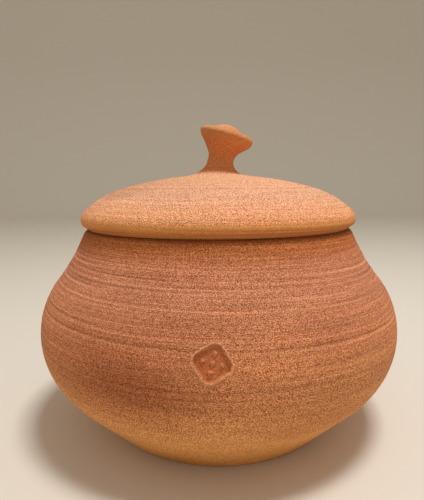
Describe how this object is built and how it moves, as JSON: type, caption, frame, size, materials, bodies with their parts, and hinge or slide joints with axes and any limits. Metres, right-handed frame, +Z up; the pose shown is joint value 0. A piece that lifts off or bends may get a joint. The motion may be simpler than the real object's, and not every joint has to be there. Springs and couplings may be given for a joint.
{
  "type": "lidded pottery pot",
  "caption": "Round-bellied unglazed clay pot with a domed drop-in lid and a leaning knob.",
  "frame": {"origin": "centre of the flat foot, on the table", "axes": "+Z up along the axis that the pot was thrown on; -Y is the front, with the pressed square; the knob leans towards +X"},
  "size_m": [0.24, 0.24, 0.2011],
  "materials": {
    "pot_clay": "matt unglazed terracotta with fine grog and throwing lines",
    "lid_clay": "matt unglazed terracotta, paler on the crown"
  },
  "bodies": {
    "root": {"pot": "pot_clay", "lid": "lid_clay"}
  },
  "joints": []
}
